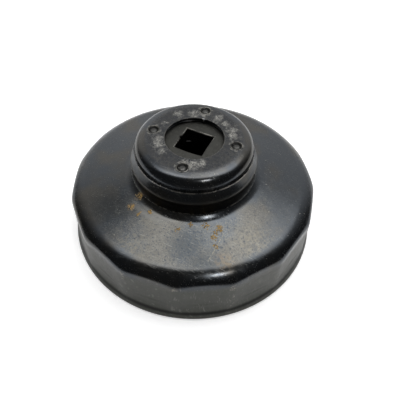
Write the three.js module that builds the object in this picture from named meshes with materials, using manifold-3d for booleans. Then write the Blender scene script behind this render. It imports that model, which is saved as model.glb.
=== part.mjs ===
// Cap-type oil filter wrench: a deep-drawn steel cap whose fifteen-flat skirt grips the end of a
// spin-on oil filter, with a drive plate riveted inside its neck for a 3/8 inch square drive.
// Millimetres, +Z up. The origin is on the axis, at the underside of the lip.

import * as THREE from "three";
import { mergeVertices } from "three/addons/utils/BufferGeometryUtils.js";
import Module from "manifold-3d";

const wasm = await Module();
wasm.setup();

// ---- Driving dimensions ----

const FLAT_COUNT = 15;
const ACROSS_FLATS = 80; // inside the skirt: twice the distance from the axis to a flat
const SHEET = 1.8; // thickness of the drawn steel
const HEIGHT = 40.4; // lip to top face
const LIP_RADIUS = 43.4;
const NECK_RADIUS = 19.5; // of the rolled edge of the top ring
const DRIVE_SQUARE = 9.7; // side of the drive hole, for a 3/8 inch square
const DRIVE_RECESS_RADIUS = 9.5; // round hole in the top ring
const PLATE_THICKNESS = 5;
const PLATE_CHAMFER = { wide: 2.4, deep: 2 }; // clears the round inside the rolled edge
const RIVET_COUNT = 4;
const RIVET_CIRCLE_RADIUS = 13.8;
const RIVET_START_DEG = 10; // first rivet, from the +X side of the drive square
const RIVET_RADIUS = 2.05;
const RIVET_HEAD = { radius: 2.9, height: 1.4, chamfer: 0.8 }; // formed head under the plate
const RIVET_DISH = { radius: 1.45, depth: 0.5, taper: 0.25 }; // hollow in the flush top end
const GAP = 0.3; // kept between pieces that touch on the real tool

// ---- Shape of the drawn cap, outside ----

const TOP_EDGE = { round: 4.6, toDeg: 12 }; // rolls the top face down to the neck's first ridge
const GROOVE = { radius: 19.2, height: 35.6 }; // waist below the top ring
const BEAD = { radius: 21, height: 32.6, round: 1.9, fromDeg: 60 }; // wider bead below it
const NECK_FOOT = { radius: 21.3, height: 28.4, slopeDeg: 80 }; // crease at the neck's base
const FOOT_END = { radius: 25.8, height: 24.5 }; // where the fillet runs into the dome
const DOME_INNER_SLOPE_DEG = 15; // the dome steepens a little from here...
const DOME_OUTER_SLOPE_DEG = 18; // ...to here, where its shoulder starts
const SHOULDER = { height: 16.1, round: 4.2 }; // its arc ends upright at this height
const FLARE_TOP = 5; // height at which the skirt starts to open towards the lip
const LIP_THICKNESS = 1.3; // height of the full-radius band of the lip
const LIP_ROUND = 0.5; // radius of the lip's two lower edges
const LIP_INNER_RADIUS = 41.6;

const ROUND_SEGMENTS = 60; // four facets to each flat, so every skirt corner lies on a column
const RIVET_SEGMENTS = 16;
const ARC_STEP_DEG = 25; // longest step along a profile's arcs
const SWEEP_STEPS = 4; // steps along each freer curve of a profile

// ---- Values worked out from the dimensions above ----

const INNER_APOTHEM = ACROSS_FLATS / 2;
const OUTER_APOTHEM = INNER_APOTHEM + SHEET;
const FLAT_ANGLE = (2 * Math.PI) / FLAT_COUNT;
const CORNER_RADIUS = OUTER_APOTHEM / Math.cos(FLAT_ANGLE / 2);
const INNER_CORNER_RADIUS = INNER_APOTHEM / Math.cos(FLAT_ANGLE / 2);
const PLATE_TOP = HEIGHT - SHEET - GAP;
const PLATE_BOTTOM = PLATE_TOP - PLATE_THICKNESS;
const PLATE_RADIUS = GROOVE.radius - SHEET - GAP;

const radians = THREE.MathUtils.degToRad;
const point = (radius, height) => new THREE.Vector2(radius, height);

// ---- Profiles: every point is (radius, height) ----

// Points on an arc, both ends included.
function arc(centreRadius, centreHeight, round, fromDeg, toDeg) {
  const steps = Math.ceil(Math.abs(toDeg - fromDeg) / ARC_STEP_DEG);
  return Array.from({ length: steps + 1 }, (_, step) => {
    const angle = radians(fromDeg + ((toDeg - fromDeg) * step) / steps);
    return point(centreRadius + round * Math.cos(angle), centreHeight + round * Math.sin(angle));
  });
}

// Where two falling lines cross, given a point on each and how steeply each falls, in degrees.
function crossing(first, firstFallDeg, second, secondFallDeg) {
  const firstFall = Math.tan(radians(firstFallDeg));
  const secondFall = Math.tan(radians(secondFallDeg));
  const rise = second.y - first.y + secondFall * second.x - firstFall * first.x;
  const radius = rise / (secondFall - firstFall);
  return point(radius, first.y - firstFall * (radius - first.x));
}

// A curve that leaves one point and reaches another at the given slopes. Ends included.
function sweep(start, startFallDeg, end, endFallDeg) {
  const control = crossing(start, startFallDeg, end, endFallDeg);
  return new THREE.QuadraticBezierCurve(start, control, end).getPoints(SWEEP_STEPS);
}

// Outside of the cap above the skirt, from the drive recess to the shoulder.
function outerCrown() {
  const neckFoot = point(NECK_FOOT.radius, NECK_FOOT.height);
  const footEnd = point(FOOT_END.radius, FOOT_END.height);
  const shoulder = arc(
    CORNER_RADIUS - SHOULDER.round, SHOULDER.height, SHOULDER.round, 90 - DOME_OUTER_SLOPE_DEG, 0,
  );
  const dome = sweep(footEnd, DOME_INNER_SLOPE_DEG, shoulder[0], DOME_OUTER_SLOPE_DEG);
  return [
    point(DRIVE_RECESS_RADIUS, HEIGHT),
    ...arc(
      NECK_RADIUS - TOP_EDGE.round, HEIGHT - TOP_EDGE.round, TOP_EDGE.round, 90, TOP_EDGE.toDeg,
    ),
    point(GROOVE.radius, GROOVE.height),
    ...arc(BEAD.radius - BEAD.round, BEAD.height, BEAD.round, BEAD.fromDeg, 0),
    ...sweep(neckFoot, NECK_FOOT.slopeDeg, footEnd, DOME_INNER_SLOPE_DEG),
    ...dome.slice(1, -1),
    ...shoulder,
  ];
}

// The same line moved inwards by the sheet's thickness, as the drawn sheet keeps its thickness.
function insetBySheet(line) {
  return line.map((here, index) => {
    const before = line[Math.max(index - 1, 0)];
    const after = line[Math.min(index + 1, line.length - 1)];
    const along = after.clone().sub(before).normalize();
    return point(here.x + along.y * SHEET, here.y - along.x * SHEET);
  });
}

// How far the skirt flares out of its flats at a height near the lip.
function flare(height) {
  const opened = Math.min((FLARE_TOP - height) / (FLARE_TOP - LIP_THICKNESS), 1);
  return height < FLARE_TOP ? (LIP_RADIUS - OUTER_APOTHEM) * opened ** 2 : 0;
}

// Radius of the cap's surface at an angle, once its round profile is pressed in to the flats.
// Near the lip the flare stands out of the flats instead.
function pressedRadius(radius, height, angle, apothem) {
  const fromCorner = THREE.MathUtils.euclideanModulo(angle, FLAT_ANGLE);
  const flat = apothem / Math.cos(fromCorner - FLAT_ANGLE / 2);
  const pressed = Math.min(radius, flat);
  return height < FLARE_TOP ? Math.max(pressed, apothem + flare(height)) : pressed;
}

// ---- Solids ----

// A closed profile turned round the Z axis.
function turned(profile, segments) {
  return new THREE.LatheGeometry(profile, segments).rotateX(Math.PI / 2);
}

function toSolid(geometry) {
  const bare = geometry.clone();
  bare.deleteAttribute("normal");
  bare.deleteAttribute("uv");
  const merged = mergeVertices(bare);
  return new wasm.Manifold(new wasm.Mesh({
    numProp: 3,
    vertProperties: new Float32Array(merged.attributes.position.array),
    triVerts: new Uint32Array(merged.index.array),
  }));
}

function toGeometry(solid) {
  const cut = solid.getMesh();
  const geometry = new THREE.BufferGeometry();
  geometry.setAttribute("position", new THREE.BufferAttribute(cut.vertProperties, 3));
  geometry.setIndex(new THREE.BufferAttribute(cut.triVerts, 1));
  geometry.computeVertexNormals();
  return geometry;
}

// Calls place(x, y, number) for each rivet.
function atEachRivet(place) {
  return Array.from({ length: RIVET_COUNT }, (_, index) => {
    const angle = radians(RIVET_START_DEG) + (index * 2 * Math.PI) / RIVET_COUNT;
    return place(
      RIVET_CIRCLE_RADIUS * Math.cos(angle),
      RIVET_CIRCLE_RADIUS * Math.sin(angle),
      index + 1,
    );
  });
}

// The drawn cap: one closed profile, down inside the neck, dome and skirt, round the lip and back
// up outside. Its skirt rows are then pressed in to the fifteen flats.
function capGeometry() {
  const outside = outerCrown();
  const inside = insetBySheet(outside).slice(0, -1);
  const innerRows = [
    ...inside,
    point(INNER_CORNER_RADIUS, SHOULDER.height),
    point(INNER_CORNER_RADIUS, FLARE_TOP),
    point(INNER_CORNER_RADIUS, (FLARE_TOP + LIP_THICKNESS) / 2),
    point(LIP_INNER_RADIUS, LIP_ROUND),
    point(LIP_INNER_RADIUS + LIP_ROUND, 0),
  ];
  const outerRows = [
    point(LIP_RADIUS - LIP_ROUND, 0),
    point(LIP_RADIUS, LIP_ROUND),
    point(LIP_RADIUS, LIP_THICKNESS),
    point(CORNER_RADIUS, (FLARE_TOP + LIP_THICKNESS) / 2),
    point(CORNER_RADIUS, FLARE_TOP),
    ...outside.reverse(),
  ];
  const profile = [...innerRows, ...outerRows, innerRows[0]];
  const geometry = turned(profile, ROUND_SEGMENTS);
  const position = geometry.attributes.position;
  for (let index = 0; index < position.count; index += 1) {
    const row = index % profile.length;
    const isOuter = row >= innerRows.length && row < profile.length - 1;
    const apothem = isOuter ? OUTER_APOTHEM : INNER_APOTHEM;
    const angle = Math.atan2(position.getY(index), position.getX(index));
    const pressed = pressedRadius(profile[row].x, profile[row].y, angle, apothem);
    position.setXY(index, pressed * Math.cos(angle), pressed * Math.sin(angle));
  }
  return geometry;
}

function steel(name, color, roughness) {
  return new THREE.MeshStandardMaterial({ name, color, roughness, metalness: 0.9 });
}

// The solid with a hole for each rivet, with clearance, right through it.
function drilledForRivets(solid) {
  let drilled = solid;
  atEachRivet((x, y) => {
    const drill = new THREE.CylinderGeometry(
      RIVET_RADIUS + GAP, RIVET_RADIUS + GAP, 4 * PLATE_THICKNESS, RIVET_SEGMENTS,
    );
    drill.rotateX(Math.PI / 2).translate(x, y, HEIGHT);
    drilled = drilled.subtract(toSolid(drill));
  });
  return drilled;
}

function outerShell() {
  const cap = drilledForRivets(toSolid(capGeometry()));
  const mesh = new THREE.Mesh(toGeometry(cap), steel("blued_steel", 0x2a2d2f, 0.38));
  mesh.name = "outer_shell";
  return mesh;
}

// Thick steel disc inside the neck, chamfered round its top, with the square drive hole.
function drivePlate() {
  const profile = [
    point(0, PLATE_BOTTOM),
    point(PLATE_RADIUS, PLATE_BOTTOM),
    point(PLATE_RADIUS, PLATE_TOP - PLATE_CHAMFER.deep),
    point(PLATE_RADIUS - PLATE_CHAMFER.wide, PLATE_TOP),
    point(0, PLATE_TOP),
  ];
  const square = new THREE.BoxGeometry(DRIVE_SQUARE, DRIVE_SQUARE, 4 * PLATE_THICKNESS);
  square.translate(0, 0, PLATE_TOP);
  const disc = toSolid(turned(profile, ROUND_SEGMENTS)).subtract(toSolid(square));
  const mesh = new THREE.Mesh(toGeometry(drilledForRivets(disc)), steel("plate_steel", 0x3a3b36, 0.6));
  mesh.name = "drive_plate";
  return mesh;
}

// Rivet with a dished end, flush in the top ring, and a formed head under the plate.
function driveRivet(x, y, number) {
  const headTop = PLATE_BOTTOM - GAP;
  const headBottom = headTop - RIVET_HEAD.height;
  const dishFloor = HEIGHT - RIVET_DISH.depth;
  const profile = [
    point(0, headBottom),
    point(RIVET_HEAD.radius - RIVET_HEAD.chamfer, headBottom),
    point(RIVET_HEAD.radius, headBottom + RIVET_HEAD.chamfer),
    point(RIVET_HEAD.radius, headTop),
    point(RIVET_RADIUS, headTop),
    point(RIVET_RADIUS, HEIGHT),
    point(RIVET_DISH.radius, HEIGHT),
    point(RIVET_DISH.radius - RIVET_DISH.taper, dishFloor),
    point(0, dishFloor),
  ];
  const mesh = new THREE.Mesh(turned(profile, RIVET_SEGMENTS), steel("rivet_steel", 0x4a4b48, 0.45));
  mesh.name = `drive_rivet_${number}`;
  mesh.position.set(x, y, 0);
  return mesh;
}

const wrench = new THREE.Group();
wrench.name = "oil_filter_wrench";
wrench.add(outerShell(), drivePlate(), ...atEachRivet(driveRivet));

export default wrench;
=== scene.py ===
"""Looks of a cap-type oil filter wrench: a worn, blued steel cap with a square drive plate.

Lengths are in millimetres until a mesh is made. The axis is Z and the lip stands on Z = 0.
"""

import math

import bmesh
import bpy
import numpy as np
from mathutils import Matrix, Vector


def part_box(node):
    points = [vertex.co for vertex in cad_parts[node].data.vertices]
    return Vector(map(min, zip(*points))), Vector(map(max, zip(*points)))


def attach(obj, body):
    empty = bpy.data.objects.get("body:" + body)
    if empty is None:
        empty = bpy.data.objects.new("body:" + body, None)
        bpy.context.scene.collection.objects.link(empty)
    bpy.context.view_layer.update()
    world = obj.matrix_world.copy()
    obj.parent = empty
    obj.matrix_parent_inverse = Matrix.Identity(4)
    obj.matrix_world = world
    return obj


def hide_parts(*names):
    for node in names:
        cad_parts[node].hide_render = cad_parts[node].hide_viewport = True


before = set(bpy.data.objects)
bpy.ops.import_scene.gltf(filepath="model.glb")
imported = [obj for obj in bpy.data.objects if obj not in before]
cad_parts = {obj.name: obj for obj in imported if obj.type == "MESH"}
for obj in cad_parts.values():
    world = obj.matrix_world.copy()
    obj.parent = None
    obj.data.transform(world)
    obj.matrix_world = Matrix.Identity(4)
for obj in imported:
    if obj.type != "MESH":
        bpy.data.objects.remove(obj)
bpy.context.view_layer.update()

MM = 0.001

# ---- Sizes taken from the frame ----

_, shell_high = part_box("outer_shell")
plate_low, plate_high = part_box("drive_plate")
rivet_names = sorted(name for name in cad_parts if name.startswith("drive_rivet"))
HEIGHT = shell_high.z / MM
LIP_RADIUS = shell_high.x / MM
PLATE_TOP = plate_high.z / MM
PLATE_BOTTOM = plate_low.z / MM
PLATE_RADIUS = plate_high.x / MM

# ---- Sizes that the CAD part has too ----

FLAT_COUNT = 15
FLAT_ANGLE = 2 * math.pi / FLAT_COUNT
SHEET = 1.8
RECESS_RADIUS = 9.5
LIP_THICKNESS = 1.3
SQUARE_HALF = 4.85
RIVET_RADIUS = 2.05

# ---- Sizes drawn finer than in the CAD part ----

OUTER_APOTHEM = 41.9
CORNER_RADIUS = OUTER_APOTHEM / math.cos(FLAT_ANGLE / 2)
RECESS_ROUND = 0.3
TOP_FLAT_RADIUS = 14.2
FLARE_TOP = 7.5
PLATE_SEAT = HEIGHT - SHEET
PLATE_CHAMFER = (2.4, 2.2)

# The rivet holes clear the rivets, and the square hole opens a little at both its ends.
HOLE_RADIUS = RIVET_RADIUS + 0.04
EDGE_EASE = 0.15

# Points of the cap's profile, as (radius, height), from the top ring's edge to the shoulder.
RIDGE = (19.45, 35.3)
BEAD = (20.2, 32.0)
CREASE = (20.95, 27.0)
KNEE = (42.1, 19.34)

# The dent in the edge of the recess: where it is, how far it spreads and how far it moves metal.
NICK_DEG = 96
NICK_REACH_DEG = 2.2
NICK_REACH = 0.5
NICK_DROP = 0.45
NICK_PULL = 0.5

# How finely the pieces are divided.
COLUMNS = 24 * FLAT_COUNT
ROW_STEP = 0.35
RIVET_COLUMNS = 64


# ---- Profiles: arrays of (radius, height) ----

def unit(degrees):
    return np.array([math.cos(math.radians(degrees)), math.sin(math.radians(degrees))])


def arc(centre, radius, from_deg, to_deg, steps=24):
    angles = np.radians(np.linspace(from_deg, to_deg, steps))
    return np.c_[centre[0] + radius * np.cos(angles), centre[1] + radius * np.sin(angles)]


def bend(start, control, end, steps=24):
    t = np.linspace(0, 1, steps)[:, None]
    start, control, end = np.array(start), np.array(control), np.array(end)
    return start * (1 - t) ** 2 + control * 2 * t * (1 - t) + end * t ** 2


def resample(line, step):
    """The same line with its points about one step apart."""
    lengths = np.r_[0, np.cumsum(np.hypot(*np.diff(line, axis=0).T))]
    places = np.linspace(0, lengths[-1], max(2, round(lengths[-1] / step) + 1))
    return np.c_[np.interp(places, lengths, line[:, 0]), np.interp(places, lengths, line[:, 1])]


def inset(line, depth):
    """The line moved to its inner side, as the sheet keeps its thickness."""
    along = np.gradient(line, axis=0)
    along /= np.hypot(*along.T)[:, None]
    return line + depth * np.c_[along[:, 1], -along[:, 0]]


def outer_crown():
    """Outside of the cap from the recess in the top ring to the end of the shoulder."""
    recess_edge = arc(
        (RECESS_RADIUS + RECESS_ROUND, HEIGHT - RECESS_ROUND), RECESS_ROUND, 180, 90, 6
    )
    # The top ring falls away slowly at first, then rolls over into the neck.
    crown_radius = 10.3
    roll_radius = 3.6
    crown_end_deg = 76
    roll_end_deg = 14
    crown = arc((TOP_FLAT_RADIUS, HEIGHT - crown_radius), crown_radius, 90, crown_end_deg, 10)
    roll_centre = crown[-1] - roll_radius * unit(crown_end_deg)
    roll = arc(roll_centre, roll_radius, crown_end_deg, roll_end_deg, 20)
    bead = arc(BEAD, 0.9, 50, -30, 8)
    waist = (20.85, 29.8)
    dome_start = (23.3, 25.55)
    # The shoulder turns slowly to a knee, then quickly down to the skirt.
    knee_deg = 40
    slow_start_deg = 75
    slow_radius = 9.0
    quick_radius = 4.1
    slow_turn = arc(KNEE - slow_radius * unit(knee_deg), slow_radius, slow_start_deg, knee_deg)
    quick_turn = arc(KNEE - quick_radius * unit(knee_deg), quick_radius, knee_deg, 0)
    parts = [
        recess_edge,
        crown,
        roll[1:],
        bend(roll[-1], (19.42, 36.6), RIDGE, 10),
        bend(RIDGE, (19.85, 34.3), bead[0], 10),
        bead,
        bend(bead[-1], (20.8, 31.0), waist, 6),
        bend(waist, (20.85, 28.6), CREASE, 6),
        bend(CREASE, (22.4, 25.78), dome_start, 12),
        bend(dome_start, (31.0, 23.6), slow_turn[0]),
        slow_turn,
        quick_turn[1:],
    ]
    return resample(np.vstack(parts), ROW_STEP)


def smooth_min(first, second, blend):
    """The smaller of two lengths, rounded where they cross."""
    mix = np.clip(0.5 + 0.5 * (second - first) / blend, 0, 1)
    return second * (1 - mix) + first * mix - blend * mix * (1 - mix)


def flat_radius(angle, apothem, corner_power=150):
    """Radius of the fifteen flats at an angle, with slightly rounded corners."""
    middles = (np.arange(FLAT_COUNT) + 0.5) * FLAT_ANGLE
    reach = np.maximum(np.cos(angle[..., None] - middles), 0.2)
    return apothem / (np.sum(reach ** corner_power, axis=-1)) ** (1 / corner_power)


def flare(height):
    """How far the skirt opens out of its flats at a height near the lip."""
    opened = np.clip((FLARE_TOP - height) / (FLARE_TOP - LIP_THICKNESS), 0, 1)
    return (LIP_RADIUS - OUTER_APOTHEM) * opened ** 2


def turned(line, angles):
    """A profile turned round the axis. Rows by columns by XYZ."""
    return np.stack([
        line[:, 0][:, None] * np.cos(angles),
        line[:, 0][:, None] * np.sin(angles),
        line[:, 1][:, None] + 0 * angles,
    ], axis=-1)


def pressed(line, angles, apothem, blend):
    """Turns a profile round the axis and presses it in to the flats. Rows by columns by XYZ."""
    lip_blend = 0.5
    radius = line[:, 0][:, None] + 0 * angles[None, :]
    height = line[:, 1][:, None] + 0 * angles[None, :]
    flats = flat_radius(angles, apothem)[None, :] + 0 * radius
    skirt = smooth_min(radius, flats, blend)
    lip = apothem + flare(height)
    radius = np.where(height < FLARE_TOP, -smooth_min(-skirt, -lip, lip_blend), skirt)
    return np.stack([radius * np.cos(angles), radius * np.sin(angles), height], axis=-1)


# ---- Meshes ----

def make_object(name, vertices, faces):
    mesh = bpy.data.meshes.new(name)
    mesh.from_pydata([tuple(v) for v in np.asarray(vertices) * MM], [], [tuple(f) for f in faces])
    mesh.validate()
    piece = bpy.data.objects.new(name, mesh)
    bpy.context.scene.collection.objects.link(piece)
    return piece


def shade(piece, sharp_deg=38):
    for polygon in piece.data.polygons:
        polygon.use_smooth = True
    piece.data.set_sharp_from_angle(angle=math.radians(sharp_deg))


def ring_piece(name, rings):
    """A closed tube-like solid from rows of rings, the last row joined to the first."""
    rows, columns = rings.shape[:2]
    here = np.arange(rows * columns).reshape(rows, columns)
    below = np.roll(here, -1, axis=0)
    faces = np.stack(
        [here, np.roll(here, -1, axis=1), np.roll(below, -1, axis=1), below], axis=-1
    )
    return make_object(name, rings.reshape(-1, 3), faces.reshape(-1, 4))


def lathe_piece(name, line, columns, centre):
    """A solid turned from a profile that starts and ends on its own axis."""
    angles = np.linspace(0, 2 * math.pi, columns, endpoint=False)
    inner = line[1:-1]
    rings = turned(inner, angles) + np.array([centre[0], centre[1], 0.0])
    vertices = [(centre[0], centre[1], line[0, 1]), (centre[0], centre[1], line[-1, 1])]
    vertices += [tuple(v) for v in rings.reshape(-1, 3)]
    here = 2 + np.arange(len(inner) * columns).reshape(len(inner), columns)
    beside = np.roll(here, -1, axis=1)
    faces = [(0, beside[0, c], here[0, c]) for c in range(columns)]
    faces += [(1, here[-1, c], beside[-1, c]) for c in range(columns)]
    for row in range(len(inner) - 1):
        faces += [
            (here[row, c], beside[row, c], beside[row + 1, c], here[row + 1, c])
            for c in range(columns)
        ]
    return make_object(name, vertices, faces)


def face_outwards(piece):
    mesh = bmesh.new()
    mesh.from_mesh(piece.data)
    bmesh.ops.recalc_face_normals(mesh, faces=mesh.faces)
    mesh.to_mesh(piece.data)
    mesh.free()


def drill(piece, centres, radius, low, high):
    """Cuts an upright round hole at each centre."""
    cutters = []
    for index, centre in enumerate(centres):
        line = np.array([(0, low), (radius, low), (radius, high), (0, high)])
        cutter = lathe_piece(f"cutter_{index}", line, RIVET_COLUMNS, centre)
        face_outwards(cutter)
        cutters.append(cutter)
        cut = piece.modifiers.new(f"hole_{index}", "BOOLEAN")
        cut.operation = "DIFFERENCE"
        cut.solver = "EXACT"
        cut.object = cutter
    depsgraph = bpy.context.evaluated_depsgraph_get()
    solid = bpy.data.meshes.new_from_object(piece.evaluated_get(depsgraph))
    piece.modifiers.clear()
    piece.data = solid
    for cutter in cutters:
        bpy.data.objects.remove(cutter)


# ---- Pieces ----

def rivet_centres():
    centres = []
    for name in rivet_names:
        low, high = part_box(name)
        middle = (low + high) / 2 / MM
        centres.append((middle.x, middle.y))
    return centres


def nick_recess_edge(rings, angles):
    """A small dent knocked into the edge of the drive recess."""
    along = np.exp(-((angles - math.radians(NICK_DEG)) / math.radians(NICK_REACH_DEG)) ** 2)
    from_edge = np.hypot(rings[:, 0, 0], rings[:, 0, 1]) - RECESS_RADIUS
    across = np.where(rings[:, 0, 2] > HEIGHT - 1, np.exp(-((from_edge / NICK_REACH) ** 2)), 0)
    depth = across[:, None] * along[None, :]
    rings[:, :, 2] -= NICK_DROP * depth
    rings[:, :, :2] -= NICK_PULL * depth[..., None] * unit(NICK_DEG)


def upright(line, step):
    """The skirt's straight line, from the end of a profile down to the lip."""
    radius, height = line[-1]
    return resample(np.array([(radius, height), (radius, LIP_THICKNESS)]), step)[1:]


def lip_profile():
    """The lip's round outer edge, its underside down to the foot and its round inner edge."""
    outer_round = 0.6
    outer_height = 0.9
    inner_round = 0.5
    foot_radius = LIP_RADIUS - 1.3
    return np.vstack([
        arc((LIP_RADIUS - outer_round, outer_height), outer_round, 10, -90, 7),
        arc((foot_radius, inner_round), inner_round, 270, 180, 5),
    ])


def cap_shell():
    """The drawn sheet: its outside, its lip and its inside, one sheet's thickness in."""
    outer_blend = 0.7
    inner_blend = 0.8
    corner_room = 0.25
    angles = np.linspace(0, 2 * math.pi, COLUMNS, endpoint=False)
    crown = outer_crown()
    outer_profile = np.vstack([crown, upright(crown, 0.5)])
    outside = pressed(outer_profile, angles, OUTER_APOTHEM, outer_blend)
    nick_recess_edge(outside, angles)
    # The inside ends where it is just past the inside of the skirt's corners.
    inner_line = inset(crown, SHEET)
    inner_line = inner_line[inner_line[:, 0] < CORNER_RADIUS - SHEET + corner_room]
    inner_line = resample(inner_line, 0.6)
    inner_profile = np.vstack([inner_line, upright(inner_line, 0.7)])
    inside = pressed(inner_profile, angles, OUTER_APOTHEM - SHEET, inner_blend)
    lip = turned(lip_profile(), angles)
    piece = ring_piece("cap_shell", np.vstack([outside, lip, inside[::-1]]))
    face_outwards(piece)
    drill(piece, rivet_centres(), HOLE_RADIUS, PLATE_TOP - 1, HEIGHT + 1)
    shade(piece)
    return piece


def square_outline(angles):
    """The worn drive hole: its far side sags in, its near side bulges, its left side is notched."""
    sag = 0.3
    right_sag = 0.12
    notch_place = 0.2
    notch_half = 0.55
    notch_depth = 0.55
    reach = np.maximum(np.abs(np.cos(angles)), np.abs(np.sin(angles)))
    x = SQUARE_HALF / reach * np.cos(angles)
    y = SQUARE_HALF / reach * np.sin(angles)
    middle_of_x = 1 - (x / SQUARE_HALF) ** 2
    middle_of_y = 1 - (y / SQUARE_HALF) ** 2
    y = y - sag * middle_of_x * (np.abs(y) >= np.abs(x))
    x = x - right_sag * middle_of_y * (x > np.abs(y))
    notch = np.exp(-(((y - notch_place) / notch_half) ** 4)) * (-x > np.abs(y))
    return x - notch_depth * notch, y


def drive_plate():
    """The disc with the square hole, as rings that go from the hole out to the rim and back."""
    angles = np.linspace(0, 2 * math.pi, COLUMNS, endpoint=False)
    square_x, square_y = square_outline(angles)
    chamfer_wide, chamfer_deep = PLATE_CHAMFER

    def ring(mix, radius, height, grow=0.0):
        """Between the square hole at mix 0 and a circle at mix 1."""
        size = 1 + grow / SQUARE_HALF
        return np.stack([
            size * square_x * (1 - mix) + radius * np.cos(angles) * mix,
            size * square_y * (1 - mix) + radius * np.sin(angles) * mix,
            height + 0 * angles,
        ], axis=-1)

    top_radius = PLATE_RADIUS - chamfer_wide
    bottom_chamfer = 0.4
    bottom_radius = PLATE_RADIUS - bottom_chamfer
    wall_foot = PLATE_BOTTOM + 0.2
    wall_head = PLATE_SEAT - EDGE_EASE
    top = [ring(mix, top_radius, PLATE_SEAT, EDGE_EASE) for mix in np.linspace(0, 1, 26)]
    side = [
        ring(1, PLATE_RADIUS, PLATE_SEAT - chamfer_deep),
        ring(1, PLATE_RADIUS, PLATE_BOTTOM + bottom_chamfer),
    ]
    bottom = [ring(mix, bottom_radius, PLATE_BOTTOM, EDGE_EASE) for mix in np.linspace(1, 0, 20)]
    wall = [ring(0, 0, height) for height in np.linspace(wall_foot, wall_head, 12)]
    piece = ring_piece("square_drive_plate", np.stack(top + side + bottom + wall))
    face_outwards(piece)
    drill(piece, rivet_centres(), HOLE_RADIUS, PLATE_BOTTOM - 1, HEIGHT)
    shade(piece)
    return piece


def rivet(name, centre):
    """One rivet: a rounded head under the plate and an end dished flush with the top ring."""
    low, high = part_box(name)
    bottom = low.z / MM
    head_radius = (high.x - low.x) / 2 / MM
    head_top = PLATE_BOTTOM - 0.02
    head_round = 0.9
    rim_round = 0.15
    line = np.vstack([
        [(0, bottom)],
        arc((head_radius - head_round, bottom + head_round), head_round, -90, 0, 10),
        [(head_radius, head_top), (RIVET_RADIUS, head_top)],
        arc((RIVET_RADIUS - rim_round, HEIGHT - 0.1), rim_round, 0, 180, 9),
        bend((1.6, HEIGHT - 0.25), (1.35, HEIGHT - 0.6), (1.0, HEIGHT - 0.45), 8),
        bend((0.9, HEIGHT - 0.35), (0.7, HEIGHT - 0.2), (0, HEIGHT - 0.2), 8),
    ])
    piece = lathe_piece(name + "_end", line, RIVET_COLUMNS, centre)
    face_outwards(piece)
    shade(piece)
    return piece


# ---- Materials ----

def on_circle(degrees, radius):
    return tuple(radius * unit(degrees))


class Graph:
    """Short calls that add nodes to one tree. Values may be numbers, tuples or sockets."""

    def __init__(self, tree):
        self.tree = tree

    def plug(self, node, key, value):
        if isinstance(value, bpy.types.NodeSocket):
            self.tree.links.new(value, node.inputs[key])
        else:
            node.inputs[key].default_value = value

    def node(self, kind, inputs=None, **settings):
        node = self.tree.nodes.new(kind)
        for name, value in settings.items():
            setattr(node, name, value)
        for key, value in (inputs or {}).items():
            self.plug(node, key, value)
        return node

    def math(self, operation, first, second=0.0):
        inputs = {0: first, 1: second}
        return self.node("ShaderNodeMath", inputs, operation=operation).outputs[0]

    def mix(self, first, second, share):
        return self.node("ShaderNodeMix", {0: share, 2: first, 3: second}).outputs[0]

    def blend(self, first, second, share):
        """Mix of two colours."""
        inputs = {0: share, 6: first, 7: second}
        return self.node("ShaderNodeMix", inputs, data_type="RGBA").outputs[2]

    def step(self, value, low, high, start=0.0, end=1.0):
        """Goes smoothly from start to end as the value goes from low to high, or high to low."""
        if low > high:
            low, high, start, end = high, low, end, start
        inputs = {0: value, 1: low, 2: high, 3: start, 4: end}
        return self.node(
            "ShaderNodeMapRange", inputs, interpolation_type="SMOOTHSTEP"
        ).outputs[0]

    def band(self, value, centre, half_width):
        """One at the centre, falling to nothing half a width away."""
        away = self.math("ABSOLUTE", self.math("SUBTRACT", value, centre))
        return self.step(away, 0.0, half_width, 1.0, 0.0)

    def noise(self, place, per_mm, detail=2.0, rough=0.5):
        inputs = {"Vector": place, "Scale": per_mm, "Detail": detail, "Roughness": rough}
        return self.node("ShaderNodeTexNoise", inputs).outputs[0]


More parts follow.
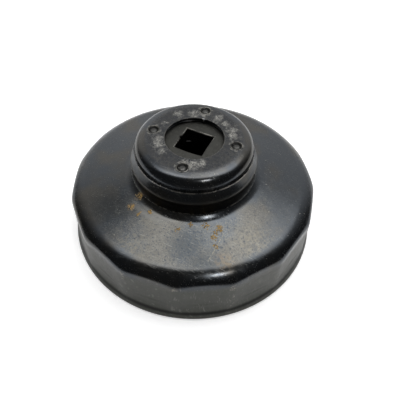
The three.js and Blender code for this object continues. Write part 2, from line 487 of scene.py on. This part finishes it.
class Steel(Graph):
    """One steel's nodes. Layers are laid one over another, then joined to the shader."""

    def __init__(self, name, colour, roughness):
        self.material = bpy.data.materials.new(name)
        self.material.use_nodes = True
        super().__init__(self.material.node_tree)
        local = self.node("ShaderNodeTexCoord").outputs["Object"]
        self.place = self.node(
            "ShaderNodeVectorMath", {0: local, "Scale": 1 / MM}, operation="SCALE"
        ).outputs[0]
        split = self.node("ShaderNodeSeparateXYZ", {0: self.place})
        self.x, self.y, self.z = split.outputs
        self.radius = self.distance((0, 0))
        self.angle = self.math("ARCTAN2", self.y, self.x)
        self.colour = (*colour, 1)
        self.roughness = roughness
        self.metallic = 1.0
        self.relief = 0.0

    def distance(self, centre):
        """Millimetres from an upright line."""
        from_x = self.math("SUBTRACT", self.x, centre[0])
        from_y = self.math("SUBTRACT", self.y, centre[1])
        squares = self.math(
            "ADD", self.math("MULTIPLY", from_x, from_x), self.math("MULTIPLY", from_y, from_y)
        )
        return self.math("SQRT", squares)

    def specks(self, per_mm, low, high, detail=2.0, rough=0.5):
        """Where a noise rises above a level."""
        return self.step(self.noise(self.place, per_mm, detail, rough), low, high)

    def both(self, *masks):
        product = masks[0]
        for mask in masks[1:]:
            product = self.math("MULTIPLY", product, mask)
        return product

    def either(self, *masks):
        most = masks[0]
        for mask in masks[1:]:
            most = self.math("MAXIMUM", most, mask)
        return most

    def around(self, height, half_width, inside, outside):
        """A ring of the surface at a height, between two radii."""
        return self.both(
            self.band(self.z, height, half_width),
            self.step(self.radius, inside - 0.2, inside),
            self.step(self.radius, outside, outside + 0.2, 1.0, 0.0),
        )

    def spot(self, degrees, radius, reach, solid=0.0, wander=0.0):
        """One at a place on the circle, fading from the solid distance to its reach."""
        away = self.math("ADD", self.distance(on_circle(degrees, radius)), wander)
        return self.step(away, solid, reach, 1.0, 0.0)

    def spots(self, places, solid=0.0, wander=0.0):
        """Any of several spots, each listed as degrees, radius and reach."""
        return self.either(*[self.spot(*place, solid, wander) for place in places])

    def wander(self, per_mm, size, detail=3.0, rough=0.5):
        """Noise that goes to both sides of nothing, half its size each way at most."""
        centred = self.math("SUBTRACT", self.noise(self.place, per_mm, detail, rough), 0.5)
        return self.math("MULTIPLY", centred, size)

    def lay(self, mask, colour, roughness=None, strength=1.0):
        """Covers the surface where the mask is one."""
        share = self.math("MULTIPLY", mask, strength)
        self.colour = self.blend(self.colour, (*colour, 1), share)
        if roughness is not None:
            self.roughness = self.mix(self.roughness, roughness, share)

    def raise_by(self, mask, millimetres):
        self.relief = self.math("ADD", self.relief, self.math("MULTIPLY", mask, millimetres))

    def line(self, start, end, half_width):
        """One straight scratch between two points, seen from above."""
        run = np.array(end) - np.array(start)
        length = float(np.hypot(*run))
        way = run / length
        from_x = self.math("SUBTRACT", self.x, float(start[0]))
        from_y = self.math("SUBTRACT", self.y, float(start[1]))
        along = self.math(
            "ADD", self.math("MULTIPLY", from_x, float(way[0])),
            self.math("MULTIPLY", from_y, float(way[1])),
        )
        across = self.math(
            "SUBTRACT", self.math("MULTIPLY", from_y, float(way[0])),
            self.math("MULTIPLY", from_x, float(way[1])),
        )
        return self.both(
            self.band(across, 0.0, half_width),
            self.step(along, 0.0, 1.0),
            self.step(along, length, length - 1.0),
        )

    def scratches(self, turn_deg, along_per_mm, across_per_mm, low):
        """Short fine lines in one direction, seen from above."""
        stretched = self.node(
            "ShaderNodeMapping",
            {
                "Vector": self.place,
                "Rotation": (0, 0, math.radians(turn_deg)),
                "Scale": (along_per_mm, across_per_mm, along_per_mm),
            },
        ).outputs[0]
        return self.step(self.noise(stretched, 1.0, 1.0), low, low + 0.05)

    def finish(self):
        shader = self.tree.nodes["Principled BSDF"]
        self.plug(shader, "Base Color", self.colour)
        self.plug(shader, "Metallic", self.metallic)
        self.plug(shader, "Roughness", self.roughness)
        bump = self.node("ShaderNodeBump", {"Height": self.relief, "Distance": MM})
        self.plug(shader, "Normal", bump.outputs[0])
        return self.material


def grey(level):
    return (level, level, level)


# Colours of the oxide where it is whole, and one darker colour painted as dark reflections.
BLUED = (0.060, 0.066, 0.073)
BROWNED = (0.078, 0.074, 0.066)
SATIN = (0.074, 0.076, 0.069)
SATIN_STREAK = (0.098, 0.099, 0.090)
TOP_RING = (0.066, 0.069, 0.074)
TOP_RING_HAZE = (0.095, 0.095, 0.093)
PAINTED_DARK_REFLECTION = (0.030, 0.036, 0.042)
DARK_GRAIN = (0.020, 0.026, 0.038)
LIP_DARK = (0.034, 0.034, 0.032)
PLATE = (0.050, 0.050, 0.046)
PLATE_HAZE = (0.066, 0.066, 0.06)
RIVET = (0.075, 0.075, 0.072)

# Colours of haze, rubbed places, bared metal and rust, and of painted highlights and reflections.
WARM_HIGHLIGHT_AND_HAZE = (0.15, 0.138, 0.112)
PALE_GRAIN = (0.125, 0.122, 0.108)
FILLET_HIGHLIGHT_PAINT = (0.115, 0.115, 0.110)
NECK_DUST = (0.05, 0.047, 0.042)
BEAD_SHEEN_AND_RUB = (0.16, 0.155, 0.14)
SHOULDER_SCUFF = (0.13, 0.125, 0.11)
WORN = (0.20, 0.195, 0.18)
PIN_PRICK = (0.26, 0.25, 0.22)
HAIR_SCRATCH = (0.24, 0.24, 0.22)
LONG_SCRATCH = (0.23, 0.21, 0.16)
BARE = (0.34, 0.33, 0.30)
CHIPPED = (0.42, 0.39, 0.33)
RIDGE_RUB = (0.48, 0.45, 0.40)
CREASE_RUB = (0.50, 0.48, 0.42)
PATCH_RUB = (0.48, 0.47, 0.43)
RUST_TINT = (0.15, 0.115, 0.075)
RUST = (0.42, 0.27, 0.09)

# Round spots are listed as degrees round the axis, distance from it and how far each reaches.
RUST_SPOTS = [
    (-47, 26.2, 1.5),
    (-49.5, 26.9, 1.1),
    (-52, 31.3, 0.9),
    (-56, 24.3, 1.3),
    (-67, 23.6, 0.8),
    (-76, 25.6, 0.8),
    (-101, 23.4, 0.9),
    (-107, 25.8, 0.9),
    (-116, 25.8, 1.6),
    (-119, 21.8, 1.6),
    (-52, 28.2, 1.0),
]
RUBBED_PATCHES = [
    (-150, 11.6, 3.0),
    (-139, 11.8, 2.75),
    (-124, 12.2, 2.125),
    (-78, 11.8, 2.0),
    (-66, 12.2, 2.875),
    (-54, 11.6, 2.25),
    (30, 12.6, 2.625),
    (43, 12.9, 2.625),
    (60, 12.3, 2.125),
    (76, 12.3, 2.75),
    (100, 12.2, 2.125),
    (116, 11.9, 2.625),
    (140, 12.7, 2.375),
    (170, 12.0, 1.5),
]
# Warm patches, partly haze and partly painted highlight, where the dome's highlights fall.
HIGHLIGHT_AND_HAZE_SPOTS = [(-31, 34.5, 10), (-97, 36.8, 8), (-100, 24.5, 5)]
# Where dark reflections are painted on the dome as a darker colour.
DARK_REFLECTION_SPOTS = [(-60, 37.0, 9), (-69, 30.5, 9), (-124, 31.0, 12)]

# Hair scratches: the way they run in degrees, noise along and across them, how rare they are.
HAIR_SCRATCHES = [
    (20, 0.3, 3.6, 0.68),
    (75, 0.3, 3.2, 0.69),
    (-35, 0.3, 3.4, 0.69),
    (140, 0.2, 2.2, 0.71),
]


def add_wear_and_shade_to_top_ring(steel):
    """Pale rubbed patches between the rivets, a bright recess edge, scuffs round the rivets and
    painted shade on the recess wall.
    """
    on_top = steel.step(steel.z, HEIGHT - 0.25, HEIGHT - 0.05)
    steel.lay(on_top, TOP_RING, 0.27)
    steel.lay(steel.both(on_top, steel.specks(1.1, 0.42, 0.62, 5.0, 0.7)), TOP_RING_HAZE)
    patches = steel.spots(RUBBED_PATCHES, wander=steel.wander(0.9, 5.0))
    flecks = steel.specks(2.2, 0.40, 0.64, 6.0, 0.85)
    steel.lay(steel.both(on_top, patches, flecks), PATCH_RUB, 0.5)
    near_rivet = steel.either(*[
        steel.band(steel.distance(centre), RIVET_RADIUS + 0.3, 0.5) for centre in rivet_centres()
    ])
    steel.lay(steel.both(on_top, near_rivet, steel.specks(0.7, 0.46, 0.6, 4.0)), BARE, 0.4, 0.55)
    recess_edge = steel.both(on_top, steel.band(steel.radius, RECESS_RADIUS + 0.15, 0.35))
    steel.lay(steel.both(recess_edge, steel.specks(0.9, 0.35, 0.6)), WORN, 0.35, 0.8)
    # The recess wall is painted dark as shade, with worn specks over it.
    recess_wall = steel.both(
        steel.step(steel.radius, RECESS_RADIUS, RECESS_RADIUS + 0.12, 1.0, 0.0),
        steel.step(steel.z, HEIGHT - 0.4, HEIGHT - 0.1, 1.0, 0.0),
    )
    steel.lay(recess_wall, grey(0.012), 0.5)
    steel.lay(steel.both(recess_wall, steel.specks(1.5, 0.62, 0.7)), WORN, 0.5, 0.8)
    steel.raise_by(steel.both(on_top, steel.noise(steel.place, 1.3, 4.0, 0.6)), 0.03)


def add_rubs_and_sheen_to_neck(steel, patches):
    """The neck's ridge and crease are rubbed pale; the bead between them is a little rougher and
    has a pale reflection painted on it.
    """
    ridge = steel.around(RIDGE[1], 0.4, 18.5, 19.8)
    bead = steel.around(BEAD[1], 1.0, 20.3, 22)
    crease = steel.around(CREASE[1] + 0.3, 0.35, 20.5, 21.6)
    rubbed_ridge = steel.both(ridge, patches, steel.specks(0.8, 0.3, 0.6, 4.0))
    steel.lay(rubbed_ridge, RIDGE_RUB, 0.5, 0.8)
    # A pale reflection band painted on the bead, with a rougher rubbed finish.
    steel.lay(bead, BEAD_SHEEN_AND_RUB, 0.45, 0.7)
    rubbed_crease = steel.both(crease, patches, steel.specks(1.0, 0.38, 0.62, 4.0))
    steel.lay(rubbed_crease, CREASE_RUB, 0.5, 0.8)


def add_wear_and_shade_to_edges(steel):
    """Chips at the top of the flats' corners, a painted shade line over the lip and a darker, worn
    lip.
    """
    patches = steel.specks(0.5, 0.3, 0.6, 3.0)
    add_rubs_and_sheen_to_neck(steel, patches)
    wave = steel.math("COSINE", steel.math("MULTIPLY", steel.angle, FLAT_COUNT))
    corner = steel.step(wave, 0.9, 0.99)
    below_shoulder = steel.step(steel.z, 19.0, 17.5)
    on_corner = steel.both(corner, below_shoulder)
    chips = steel.either(
        steel.both(on_corner, steel.band(steel.z, 16.2, 2.4), steel.specks(1.6, 0.52, 0.6, 4.0)),
        steel.both(on_corner, steel.specks(1.3, 0.60, 0.66, 3.0)),
    )
    knocked = steel.specks(0.16, 0.46, 0.60, 1.0)
    steel.lay(steel.both(chips, knocked), CHIPPED, 0.5, 0.8)
    # A band of painted shade above the lip.
    steel.lay(steel.band(steel.z, 2.9, 1.3), grey(0.015), 0.5, 0.85)
    lip = steel.step(steel.z, LIP_THICKNESS + 0.6, LIP_THICKNESS - 0.1)
    steel.lay(lip, LIP_DARK, 0.34, 0.8)
    steel.lay(steel.both(lip, patches), WORN, 0.45, 0.3)


def add_rust(steel):
    """Rust grains in a few spots on the dome, which are not metallic, and one brown tint."""
    wander = steel.wander(1.1, 3.0)
    spots = steel.either(*[
        steel.spot(degrees, radius, reach, 0.4 * reach, wander)
        for degrees, radius, reach in RUST_SPOTS
    ])
    below_neck = steel.step(steel.z, CREASE[1] + 0.6, CREASE[1])
    rust = steel.both(below_neck, spots, steel.specks(2.3, 0.45, 0.53, 3.0, 0.6))
    tint = steel.both(steel.spot(-50, 36.7, 4.5, 0.5), steel.specks(0.8, 0.40, 0.60, 5.0, 0.7))
    steel.lay(tint, RUST_TINT, 0.4, 0.5)
    steel.lay(rust, RUST, 0.7)
    steel.metallic = steel.math("SUBTRACT", 1.0, steel.math("MULTIPLY", rust, 0.7))
    steel.raise_by(rust, 0.05)


def add_flats(steel):
    """The skirt is satin, with faint upright streaks."""
    flats = steel.step(steel.z, 18.0, 15.0)
    steel.lay(flats, SATIN, 0.36)
    streaks = steel.node(
        "ShaderNodeMapping", {"Vector": steel.place, "Scale": (1.4, 1.4, 0.12)}
    ).outputs[0]
    streaked = steel.both(flats, steel.step(steel.noise(streaks, 1.0, 4.0), 0.45, 0.7))
    steel.lay(streaked, SATIN_STREAK, 0.42, 0.4)


def add_haze_and_painted_dome_light(steel, on_dome, hazed_side):
    """Warm haze with painted highlights, painted dark reflections, grain and a painted fillet
    highlight.
    """
    grainy = steel.specks(0.9, 0.42, 0.62, 5.0, 0.75)
    # Warm haze grain, partly a painted highlight on the dome.
    steel.lay(steel.both(on_dome, steel.spots(HIGHLIGHT_AND_HAZE_SPOTS), grainy), WARM_HIGHLIGHT_AND_HAZE, 0.34, 0.9)
    pale_grain = steel.specks(2.2, 0.42, 0.66, 3.0, 0.7)
    steel.lay(steel.both(on_dome, pale_grain, hazed_side), PALE_GRAIN, 0.34, 0.85)
    dark_grain = steel.specks(1.6, 0.46, 0.34, 3.0, 0.7)
    steel.lay(steel.both(on_dome, dark_grain, hazed_side), DARK_GRAIN, strength=0.75)
    # Painted dark reflections: the dome's colour is darkened in a few broad spots.
    steel.lay(steel.both(on_dome, steel.spots(DARK_REFLECTION_SPOTS, 1.0)), PAINTED_DARK_REFLECTION, strength=0.6)
    # A painted highlight: a pale crescent on the fillet.
    fillet_radius = 24.6
    fillet_highlight_mask = steel.both(
        steel.band(steel.radius, fillet_radius, 1.6), steel.spot(-104, fillet_radius, 9.0, 2.0)
    )
    steel.lay(fillet_highlight_mask, FILLET_HIGHLIGHT_PAINT, 0.3, 0.9)


def blued_steel():
    """The drawn cap: glossy blue-black oxide, hazed on the dome and satin on the flats."""
    steel = Steel("worn_blued_steel", BLUED, 0.2)
    steel.lay(steel.specks(0.07, 0.42, 0.62, 3.0), BROWNED, strength=0.8)
    on_dome = steel.both(
        steel.step(steel.radius, 22.5, 25.5), steel.step(steel.radius, 38.5, 36.5)
    )
    steel.roughness = steel.mix(steel.roughness, 0.24, on_dome)
    add_flats(steel)
    hazed_side = steel.step(steel.distance(on_circle(-67, 32)), 12.0, 42.0, 1.0, 0.15)
    add_haze_and_painted_dome_light(steel, on_dome, hazed_side)
    hairs = steel.either(*[steel.scratches(*scratches) for scratches in HAIR_SCRATCHES])
    steel.lay(steel.both(hairs, hazed_side), HAIR_SCRATCH, 0.34, 0.3)
    long_scratch = steel.line(on_circle(-45, 27.9), on_circle(-58, 36.0), 0.22)
    broken_scratch = steel.both(long_scratch, steel.specks(1.2, 0.35, 0.55))
    steel.lay(broken_scratch, LONG_SCRATCH, 0.5, 0.6)
    shoulder_scuffs = steel.both(
        steel.band(steel.z, 18.5, 3.5),
        steel.specks(0.25, 0.42, 0.58, 2.0),
        steel.specks(2.4, 0.58, 0.66, 3.0, 0.6),
    )
    steel.lay(shoulder_scuffs, SHOULDER_SCUFF, 0.5, 0.8)
    steel.lay(steel.specks(2.6, 0.70, 0.76, 1.0), WORN, 0.5, 0.5)
    steel.lay(steel.specks(1.1, 0.745, 0.77, 2.0), PIN_PRICK, 0.5, 0.7)
    dusty_neck = steel.both(
        steel.band(steel.z, 30.0, 4.5), steel.step(steel.radius, 22.0, 21.0)
    )
    steel.lay(dusty_neck, NECK_DUST, 0.5, 0.7)
    # Inside the neck, under the plate, the shell is painted near black as shade.
    neck_inside_shade = steel.both(
        steel.step(steel.radius, 18.3, 18.0), steel.step(steel.z, PLATE_SEAT, PLATE_SEAT - 0.3)
    )
    steel.lay(neck_inside_shade, grey(0.01), 0.7)
    add_wear_and_shade_to_top_ring(steel)
    add_wear_and_shade_to_edges(steel)
    add_rust(steel)
    steel.roughness = steel.math("ADD", steel.roughness, steel.wander(0.5, 0.22, 5.0, 0.65))
    steel.raise_by(steel.noise(steel.place, 0.13, 2.0), 0.10)
    steel.raise_by(steel.noise(steel.place, 2.8, 3.0, 0.6), 0.007)
    steel.raise_by(hairs, -0.006)
    return steel.finish()


def plate_steel():
    """The drive plate: matt dark oxide, a rubbed rim on two sides of the square hole, painted near
    black as shade inside.
    """
    steel = Steel("matt_plate_steel", PLATE, 0.5)
    steel.lay(steel.specks(1.0, 0.4, 0.65, 5.0, 0.7), PLATE_HAZE, 0.56)
    steel.lay(steel.specks(2.4, 0.66, 0.72), WORN, 0.5, 0.5)
    turned_marks = steel.node(
        "ShaderNodeCombineXYZ", {0: steel.math("MULTIPLY", steel.radius, 5.0), 1: steel.angle}
    ).outputs[0]
    grooves = steel.noise(turned_marks, 1.0, 2.0)
    from_square = steel.either(
        steel.math("ABSOLUTE", steel.x), steel.math("ABSOLUTE", steel.y)
    )
    rim = steel.band(from_square, SQUARE_HALF + 0.1, 0.32)
    far_and_left = steel.either(
        steel.step(steel.y, 3.2, 4.2), steel.step(steel.x, -4.2, -5.0)
    )
    steel.lay(steel.both(rim, far_and_left, steel.specks(1.3, 0.40, 0.55)), BARE, 0.4, 0.85)
    # Below its top face, in the hole and underneath, the plate is painted near black as shade.
    inside = steel.step(steel.z, PLATE_SEAT - 0.35, PLATE_SEAT - 0.55)
    steel.lay(inside, grey(0.006), 0.6)
    steel.raise_by(grooves, 0.01)
    steel.raise_by(steel.noise(steel.place, 1.8, 4.0), 0.03)
    return steel.finish()


def rivet_steel(name, centre):
    """A flush rivet end: rubbed rim, a dark ring of painted shade and a duller middle."""
    steel = Steel(name, RIVET, 0.36)
    from_centre = steel.distance(centre)
    rim = steel.band(from_centre, RIVET_RADIUS - 0.15, 0.35)
    # A dark ring of painted shade in the rivet's dished end.
    steel.lay(steel.band(from_centre, 1.3, 0.5), grey(0.010), 0.5)
    steel.lay(steel.both(rim, steel.specks(1.1, 0.38, 0.6, 3.0)), BARE, 0.4, 0.8)
    steel.lay(steel.specks(1.8, 0.60, 0.68), WORN, 0.5, 0.5)
    # Below the top ring the rivet is painted darker as shade in its hole.
    steel.lay(steel.step(steel.z, HEIGHT - 1.0, HEIGHT - 1.3), grey(0.03), 0.5)
    steel.raise_by(steel.noise(steel.place, 1.6, 3.0), 0.04)
    return steel.finish()


# ---- Stage ----

CAMERA_AZIMUTH = 23.53
CAMERA_ELEVATION = 49.92
CAMERA_ROLL = 1.934
CAMERA_DISTANCE = 177.37
TARGET_RIGHT = 2.43
TARGET_HEIGHT = 9.42
LENS = 43.2
SENSOR = 36

FLOOR_HALF_M = 3.0
FLOOR_PALE = (0.93, 0.93, 0.93, 1)
FLOOR_DIM = (0.1, 0.1, 0.1, 1)
# The floor's colour under the cap, painted dark as shade.
FLOOR_SHADE_UNDER_CAP = (0.02, 0.02, 0.02, 1)
FLOOR_GLOW = 0.14
FLOOR_GLOW_SEEN = 0.45
FLOOR_SHADE_START = 52
FLOOR_SHADE_END = 80
LIP_SHADE = 2

LAMP_BEARING = 152
LAMP_ELEVATION = 55
LAMP_DISTANCE_M = 0.5
LAMP_SIZE_M = 0.055
LAMP_POWER = 0.28


def direction(bearing_deg, elevation_deg):
    """Unit vector: bearing 0 is behind the object as the camera sees it, 90 is its right."""
    turn = math.radians(CAMERA_AZIMUTH - bearing_deg)
    rise = math.radians(elevation_deg)
    return (-math.sin(turn) * math.cos(rise), math.cos(turn) * math.cos(rise), math.sin(rise))


def add_camera():
    camera = bpy.data.objects.new("camera", bpy.data.cameras.new("camera"))
    bpy.context.scene.collection.objects.link(camera)
    right = Vector(direction(90, 0))
    back = Vector(direction(180, CAMERA_ELEVATION))
    target = right * TARGET_RIGHT + Vector((0, 0, TARGET_HEIGHT))
    camera.location = (target + back * CAMERA_DISTANCE) * MM
    roll = Matrix.Rotation(math.radians(CAMERA_ROLL), 4, "Z")
    camera.matrix_world = (
        Matrix.Translation(camera.location)
        @ (-back).to_track_quat("-Z", "Y").to_matrix().to_4x4()
        @ roll
    )
    camera.data.lens = LENS
    camera.data.sensor_width = SENSOR
    bpy.context.scene.camera = camera


def add_floor():
    """A pale floor that glows a little, and more to the camera. Under the cap it is painted dark as
    shade.

    In front of the tool it is in the room's dark side, except to the camera.
    """
    mesh = bpy.data.meshes.new("floor")
    half = FLOOR_HALF_M
    corners = [(-half, -half, 0), (half, -half, 0), (half, half, 0), (-half, half, 0)]
    mesh.from_pydata(corners, [], [(0, 1, 2, 3)])
    floor = bpy.data.objects.new("floor", mesh)
    bpy.context.scene.collection.objects.link(floor)
    material = bpy.data.materials.new("floor_paper")
    material.use_nodes = True
    graph = Graph(material.node_tree)
    shader = material.node_tree.nodes["Principled BSDF"]
    place = graph.node("ShaderNodeTexCoord").outputs["Object"]
    front = graph.node(
        "ShaderNodeVectorMath", {0: place, 1: direction(180, 0)}, operation="DOT_PRODUCT"
    ).outputs["Value"]
    shade_reach = graph.step(front, FLOOR_SHADE_START * MM, FLOOR_SHADE_END * MM)
    seen = graph.node("ShaderNodeLightPath").outputs["Is Camera Ray"]
    shaded = graph.math("MULTIPLY", shade_reach, graph.math("SUBTRACT", 1.0, seen))
    shader.inputs["Roughness"].default_value = 0.9
    shader.inputs["Specular IOR Level"].default_value = 0.0
    shader.inputs["Emission Color"].default_value = (1, 1, 1, 1)
    from_axis = graph.node("ShaderNodeVectorMath", {0: place}, operation="LENGTH").outputs["Value"]
    # Under the cap the floor is painted dark and does not glow: painted shade.
    in_the_open = graph.step(from_axis, (LIP_RADIUS - LIP_SHADE) * MM, LIP_RADIUS * MM)
    open_colour = graph.blend(FLOOR_PALE, FLOOR_DIM, shaded)
    graph.plug(shader, "Base Color", graph.blend(FLOOR_SHADE_UNDER_CAP, open_colour, in_the_open))
    glow = graph.mix(graph.mix(FLOOR_GLOW, 0.0, shaded), FLOOR_GLOW_SEEN, seen)
    graph.plug(shader, "Emission Strength", graph.math("MULTIPLY", glow, in_the_open))
    mesh.materials.append(material)


def add_lamp():
    """One small soft lamp in front of the object and to its right, aimed at it."""
    data = bpy.data.lights.new("warm_lamp", "AREA")
    data.shape = "SQUARE"
    data.size = LAMP_SIZE_M
    data.energy = LAMP_POWER
    light = bpy.data.objects.new("warm_lamp", data)
    bpy.context.scene.collection.objects.link(light)
    back = Vector(direction(LAMP_BEARING, LAMP_ELEVATION))
    light.location = back * LAMP_DISTANCE_M
    light.rotation_mode = "QUATERNION"
    light.rotation_quaternion = (-back).to_track_quat("-Z", "Y")


# Soft lights of the room: bearing, elevation, where each starts to fade, where it ends, strength.
SOFT_LIGHTS = [
    (0, 50, 20, 75, 0.55),
    (0, 80, 4, 27, 1.0),
    (60, 66, 1, 27, 2.8),
    (-97, 72, 1, 25, 2.9),
    (32, 14, 5, 36, 0.5),
    (-32, 14, 5, 36, 0.6),
]
ROOM_DARKNESS = 0.07
# How far towards the camera the lights reach: where they start to fade and where they end.
LIGHTS_END = (0.02, 0.2)


def add_world():
    """A dim room with soft lights over and behind the object; the camera sees plain white."""
    world = bpy.data.worlds.new("studio")
    world.use_nodes = True
    graph = Graph(world.node_tree)
    ray = graph.node("ShaderNodeTexCoord").outputs["Generated"]
    total = 0.0
    for bearing, elevation, inner, outer, strength in SOFT_LIGHTS:
        towards = graph.node(
            "ShaderNodeVectorMath", {0: ray, 1: direction(bearing, elevation)},
            operation="DOT_PRODUCT",
        ).outputs["Value"]
        lobe = graph.step(towards, math.cos(math.radians(outer)), math.cos(math.radians(inner)))
        total = graph.math("ADD", graph.math("MULTIPLY", lobe, strength), total)
    forward = graph.node(
        "ShaderNodeVectorMath", {0: ray, 1: direction(180, 0)}, operation="DOT_PRODUCT"
    ).outputs["Value"]
    lights_end = graph.step(forward, LIGHTS_END[0], LIGHTS_END[1], 1.0, 0.0)
    total = graph.math("ADD", graph.math("MULTIPLY", total, lights_end), ROOM_DARKNESS)
    seen = graph.node("ShaderNodeLightPath").outputs["Is Camera Ray"]
    strength = graph.mix(total, 1.0, seen)
    background = world.node_tree.nodes["Background"]
    background.inputs["Color"].default_value = (1, 1, 1, 1)
    graph.plug(background, "Strength", strength)
    bpy.context.scene.world = world


shell = cap_shell()
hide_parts("outer_shell")
plate = drive_plate()
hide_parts("drive_plate")
shell.data.materials.append(blued_steel())
plate.data.materials.append(plate_steel())
pieces = [(shell, "blued_steel"), (plate, "plate_steel")]
for name, centre in zip(rivet_names, rivet_centres()):
    end = rivet(name, centre)
    end.data.materials.append(rivet_steel(name + "_steel", centre))
    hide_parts(name)
    pieces.append((end, "rivet_steel"))
for piece, slot in pieces:
    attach(piece, "root")

add_floor()
add_world()
add_lamp()
add_camera()
bpy.context.scene.view_settings.view_transform = "Standard"
